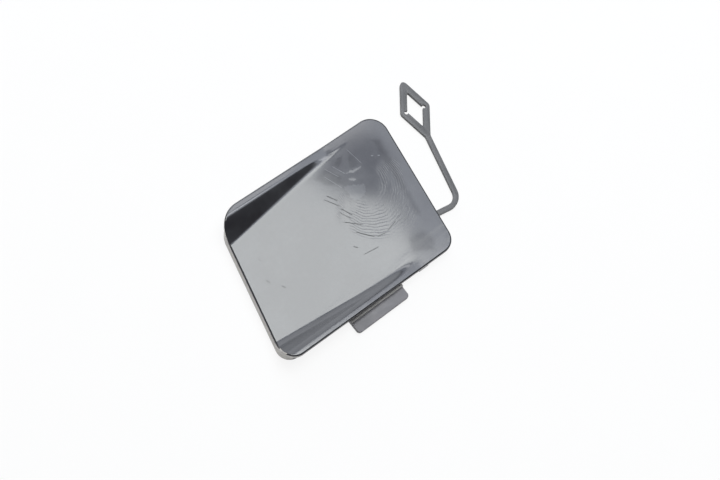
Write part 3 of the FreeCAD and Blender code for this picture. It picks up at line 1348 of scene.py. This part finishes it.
@dataclass
class RetainingStrap:
    """Flat strap that leaves the strap end, turns, and ends in a diamond loop."""

    shell: CoverShell
    root: float = -17.7 * MM
    lead: float = 12.5 * MM
    run: float = 46.0 * MM
    slant: float = math.radians(75.5)
    width: float = 2.45 * MM
    thickness: float = 1.6 * MM
    clearance: float = 0.3 * MM
    bend: float = 5.8 * MM
    loop_length: float = 32.4 * MM
    loop_width: float = 14.2 * MM
    loop_bar: float = 3.0 * MM
    tip_radius: float = 1.93 * MM
    side_radius: float = 2.2 * MM
    neck_radius: float = 2.5 * MM
    hole_radius: float = 0.5 * MM
    notch_radius: float = 0.85 * MM
    notch_offset: float = 0.5 * MM
    notch_steps: int = 12
    rounding: float = 0.18 * MM

    def build(self, plastic: bpy.types.Material) -> bpy.types.Object:
        """Builds the strap from its outline and the hole in its loop.

        Args:
            plastic: Its material.

        Returns:
            The piece.
        """
        bm = bmesh.new()
        skew = self.shell.outline.strap.skew
        out = Vector((math.cos(skew), -math.sin(skew), 0.0))
        foot = Vector((self.shell.outline.edge_x(End.STRAP, self.root), self.root, self.clearance))
        turn = foot + out * self.lead
        along = Vector((math.cos(self.slant), math.sin(self.slant), 0.0))
        across = Vector((along.y, -along.x, 0.0))
        centre = turn + along * self.run
        start = foot - out * (self.shell.lip_overhang + self.shell.rim_thickness / 2)
        half = self.width / 2
        lead_side = Vector((out.y, -out.x, 0.0)) * half
        run_side = across * half
        top = centre + along * (self.loop_length / 2)
        bottom = centre - along * (self.loop_length / 2)
        right = centre + across * (self.loop_width / 2)
        left = centre - across * (self.loop_width / 2)
        outline = (
            (start + lead_side, 0.0),
            (meet(foot + lead_side, out, turn + run_side, along), self.bend + half),
            (meet(turn + run_side, along, bottom, right - bottom), self.neck_radius),
            (right, self.side_radius),
            (top, self.tip_radius),
            (left, self.side_radius),
            (meet(turn - run_side, along, bottom, left - bottom), self.neck_radius),
            (meet(foot - lead_side, out, turn - run_side, along), self.bend - half),
            (start - lead_side, 0.0),
        )
        self.add_loop(bm, outline)
        inradius = self.loop_length * self.loop_width / 2 / math.hypot(self.loop_length, self.loop_width)
        share = 1 - self.loop_bar / inradius
        half_length = along * self.loop_length / 2 * share
        self.add_hole(bm, centre, half_length, across * self.loop_width / 2 * share)
        bmesh.ops.delete(bm, geom=list(bm.faces), context="FACES_ONLY")
        bmesh.ops.triangle_fill(bm, edges=list(bm.edges), use_beauty=True)
        bmesh.ops.dissolve_limit(bm, angle_limit=math.radians(1.0), verts=bm.verts, edges=bm.edges)
        raise_prism(bm, UP * self.thickness)
        soften(bm, self.rounding)
        return finish_mesh(bm, "retaining_strap", (plastic,))

    def add_loop(self, bm: bmesh.types.BMesh, outline: Iterable[tuple[Vector, float]]) -> None:
        """Adds a flat face with rounded corners.

        Args:
            bm: The mesh.
            outline: Corners with their radii.
        """
        corners = [(bm.verts.new(place), radius) for place, radius in outline]
        bm.faces.new([vert for vert, _ in corners])
        for vert, radius in corners:
            if radius > 0.0:
                round_corner(bm, vert, radius, 8)

    def add_hole(self, bm: bmesh.types.BMesh, centre: Vector, tip: Vector, side: Vector) -> None:
        """Adds the outline of the loop's hole, with a round notch at each side corner.

        Args:
            bm: The mesh.
            centre: Middle of the loop.
            tip: Way from the middle to the tip of the hole.
            side: Way from the middle to the side corner of the hole.
        """
        slope = side.length / tip.length
        square = 1 + slope**2
        lean = slope * self.notch_offset
        rest = self.notch_offset**2 - self.notch_radius**2
        rise = (-lean + math.sqrt(lean**2 - square * rest)) / square
        half_turn = math.pi - math.atan2(rise, self.notch_offset + slope * rise)
        verts = []
        tips = []
        for sign in (1, -1):
            tips.append(bm.verts.new(centre + tip * sign))
            verts.append(tips[-1])
            hub = centre + side * sign + side.normalized() * (sign * self.notch_offset)
            for step in range(self.notch_steps + 1):
                turn = half_turn * (1 - 2 * step / self.notch_steps)
                spoke = side.normalized() * math.cos(turn) + tip.normalized() * math.sin(turn)
                verts.append(bm.verts.new(hub + spoke * (sign * self.notch_radius)))
        bm.faces.new(verts)
        for vert in tips:
            round_corner(bm, vert, self.hole_radius, 4)


@dataclass(frozen=True)
class PhotoCamera:
    """Camera at the photograph's viewing angle."""

    aim: Vector = field(default_factory=lambda: Vector((8.27, -7.52, 0.0)) * MM)
    heading: float = math.radians(24.73)
    tilt: float = math.radians(22.0)
    roll: float = math.radians(28.0)
    distance: float = 620.0 * MM
    lens: float = 73.81

    def build(self) -> None:
        """Adds the camera and makes it the scene's own."""
        level = Vector((math.cos(self.heading), math.sin(self.heading), 0.0))
        level_right = Vector((level.y, -level.x, 0.0))
        forward = level * math.sin(self.tilt) - UP * math.cos(self.tilt)
        level_up = level * math.cos(self.tilt) + UP * math.sin(self.tilt)
        right = level_right * math.cos(self.roll) + level_up * math.sin(self.roll)
        up = level_up * math.cos(self.roll) - level_right * math.sin(self.roll)
        turn = Matrix((right, up, -forward)).transposed().to_4x4()
        data = bpy.data.cameras.new("camera")
        data.lens = self.lens
        camera = add_object("camera", data)
        camera.matrix_world = Matrix.Translation(self.aim - forward * self.distance) @ turn
        bpy.context.scene.camera = camera


@dataclass(frozen=True)
class SoftBox:
    """Rectangular soft light.

    Attributes:
        name: Name of the light.
        place: Middle of the light.
        back: Direction of its dark back.
        turn: Angle that it is turned about that direction.
        size: Lengths of its two sides.
        radiance: Brightness of its face.
        colour: Colour of its light.
    """

    name: str
    place: Vector
    back: Vector
    turn: float
    size: tuple[float, float]
    radiance: float
    colour: tuple[float, float, float] = (1.0, 1.0, 1.0)

    def build(self) -> None:
        """Adds the light, which shines away from its back."""
        data = bpy.data.lights.new(self.name, "AREA")
        data.shape = "RECTANGLE"
        data.size, data.size_y = self.size
        data.energy = self.radiance * math.pi * self.size[0] * self.size[1]
        data.color = self.colour
        light = add_object(self.name, data)
        facing = self.back.to_track_quat("Z", "Y").to_matrix().to_4x4()
        light.matrix_world = Matrix.Translation(self.place) @ facing @ Matrix.Rotation(self.turn, 4, "Z")


@dataclass
class Studio:
    """Pale floor, soft lights and dim surroundings."""

    floor_half: float = 2.5
    floor_gap: float = 0.05 * MM
    floor_colour: tuple[float, float, float, float] = (0.92, 0.92, 0.915, 1.0)
    floor_mottle: tuple[float, float, float, float] = (0.9, 0.9, 0.9, 1.0)
    white_share: float = 0.88
    dim: tuple[float, float, float, float] = (0.08, 0.08, 0.085, 1.0)

    def floor_material(self) -> bpy.types.Material:
        """Builds white paper that the camera sees close to white, with the part's shadow on it.

        Returns:
            The material.
        """
        sheet = ShaderSheet("floor_paper")
        diffuse = sheet.add("ShaderNodeBsdfDiffuse")
        mottle = sheet.noise(sheet.point(), 30.0)
        paper = sheet.blend(sheet.fade(mottle, 0.3, 0.7), self.floor_colour, self.floor_mottle)
        sheet.feed(diffuse.inputs["Color"], paper)
        glow = sheet.add("ShaderNodeEmission")
        path = sheet.add("ShaderNodeLightPath")
        seen = sheet.maths("MAXIMUM", path.outputs["Is Camera Ray"], path.outputs["Is Glossy Ray"])
        seen = sheet.maths("MAXIMUM", seen, path.outputs["Is Transmission Ray"])
        mix = sheet.add("ShaderNodeMixShader")
        sheet.feed(mix.inputs["Fac"], sheet.maths("MULTIPLY", seen, self.white_share))
        sheet.feed(mix.inputs[1], diffuse.outputs["BSDF"])
        sheet.feed(mix.inputs[2], glow.outputs["Emission"])
        output = sheet.add("ShaderNodeOutputMaterial")
        sheet.feed(output.inputs["Surface"], mix.outputs["Shader"])
        return sheet.material

    def build(self) -> None:
        """Adds the floor, the world and the lights."""
        bm = bmesh.new()
        bmesh.ops.create_grid(bm, x_segments=1, y_segments=1, size=self.floor_half)
        mesh = bake(bm, "floor")
        mesh.materials.append(self.floor_material())
        floor = add_object("floor", mesh)
        floor.location.z = CAD_BOX[0][2] - self.floor_gap
        world = bpy.data.worlds.new("studio")
        world.use_nodes = True
        world.node_tree.nodes["Background"].inputs["Color"].default_value = self.dim
        bpy.context.scene.world = world
        for box in self.lights():
            box.build()

    def lights(self) -> tuple[SoftBox, ...]:
        """Sets soft boxes round the part.

        Returns:
            The lights.
        """
        slant = math.radians(-36.9)
        cool = (0.89, 0.93, 1.0)
        aside = Vector((0.34, 0.94, 0.0))
        neutral = (0.98, 1.0, 0.965)
        high = 1.106
        return (
            SoftBox("key", Vector((0.1175, 0.1251, high)), UP, slant, (0.622, 0.612), 5.4, neutral),
            SoftBox("end", Vector((0.7075, 0.1177, high)), UP, math.radians(-28.0), (0.3, 0.5), 1.6, cool),
            SoftBox("upper", Vector((0.52, 0.369, high)), UP, 0.0, (0.26, 0.144), 3.1),
            SoftBox("lower", Vector((0.5, 0.018, high - 0.02)), UP, 0.0, (0.14, 0.196), 3.0),
            SoftBox("low", Vector((0.43, -0.2, high - 0.04)), UP, 0.0, (0.3, 0.34), 1.0, cool),
            SoftBox("sky", Vector((0.51, 0.226, 1.25)), UP, 0.0, (1.02, 1.02), 2.0, (0.8, 0.86, 1.0)),
            SoftBox("side", aside + UP * 0.07, aside, 0.0, (0.8, 0.14), 1.7, cool),
            SoftBox("fill", aside * 1.02 + UP * 0.79, aside, 0.0, (0.8, 1.3), 2.4, cool),
        )


def main() -> None:
    """Builds the cover's pieces, the studio and the camera."""
    logging.basicConfig(level=logging.INFO, format="%(message)s")
    bpy.context.scene.view_settings.view_transform = "Standard"
    paint = GlossPaint().material()
    moulding = SatinPlastic(
        "moulding_plastic", (0.115, 0.115, 0.117, 1.0), (0.14, 0.138, 0.14, 1.0),
    ).material()
    tongue = SatinPlastic("tongue_plastic", (0.22, 0.215, 0.225, 1.0), (0.26, 0.25, 0.26, 1.0)).material()
    wall = SatinPlastic("end_wall_primer", (0.5, 0.47, 0.43, 1.0), (0.58, 0.55, 0.51, 1.0), 0.35).material()
    # Lighter copy of the tongue's plastic for the top of its ledge: a painted highlight.
    ledge = SatinPlastic("tongue_ledge_highlight", (0.33, 0.32, 0.3, 1.0), (0.38, 0.37, 0.35, 1.0)).material()
    outline = CoverOutline()
    shell = CoverShell(outline, Relief(outline))
    skin = shell.build({Coat.PAINT: paint, Coat.PLASTIC: moulding, Coat.WALL: wall})
    StiffeningRibs(shell).build(moulding)
    hooks = SnapHooks(shell)
    hooks.cut_slots(skin)
    hooks.build(moulding)
    Tongue(shell).build(tongue, ledge)
    LocatingNib(shell).build(moulding)
    RetainingStrap(shell).build(moulding)
    Studio().build()
    PhotoCamera().build()


if __name__ == "__main__":
    main()
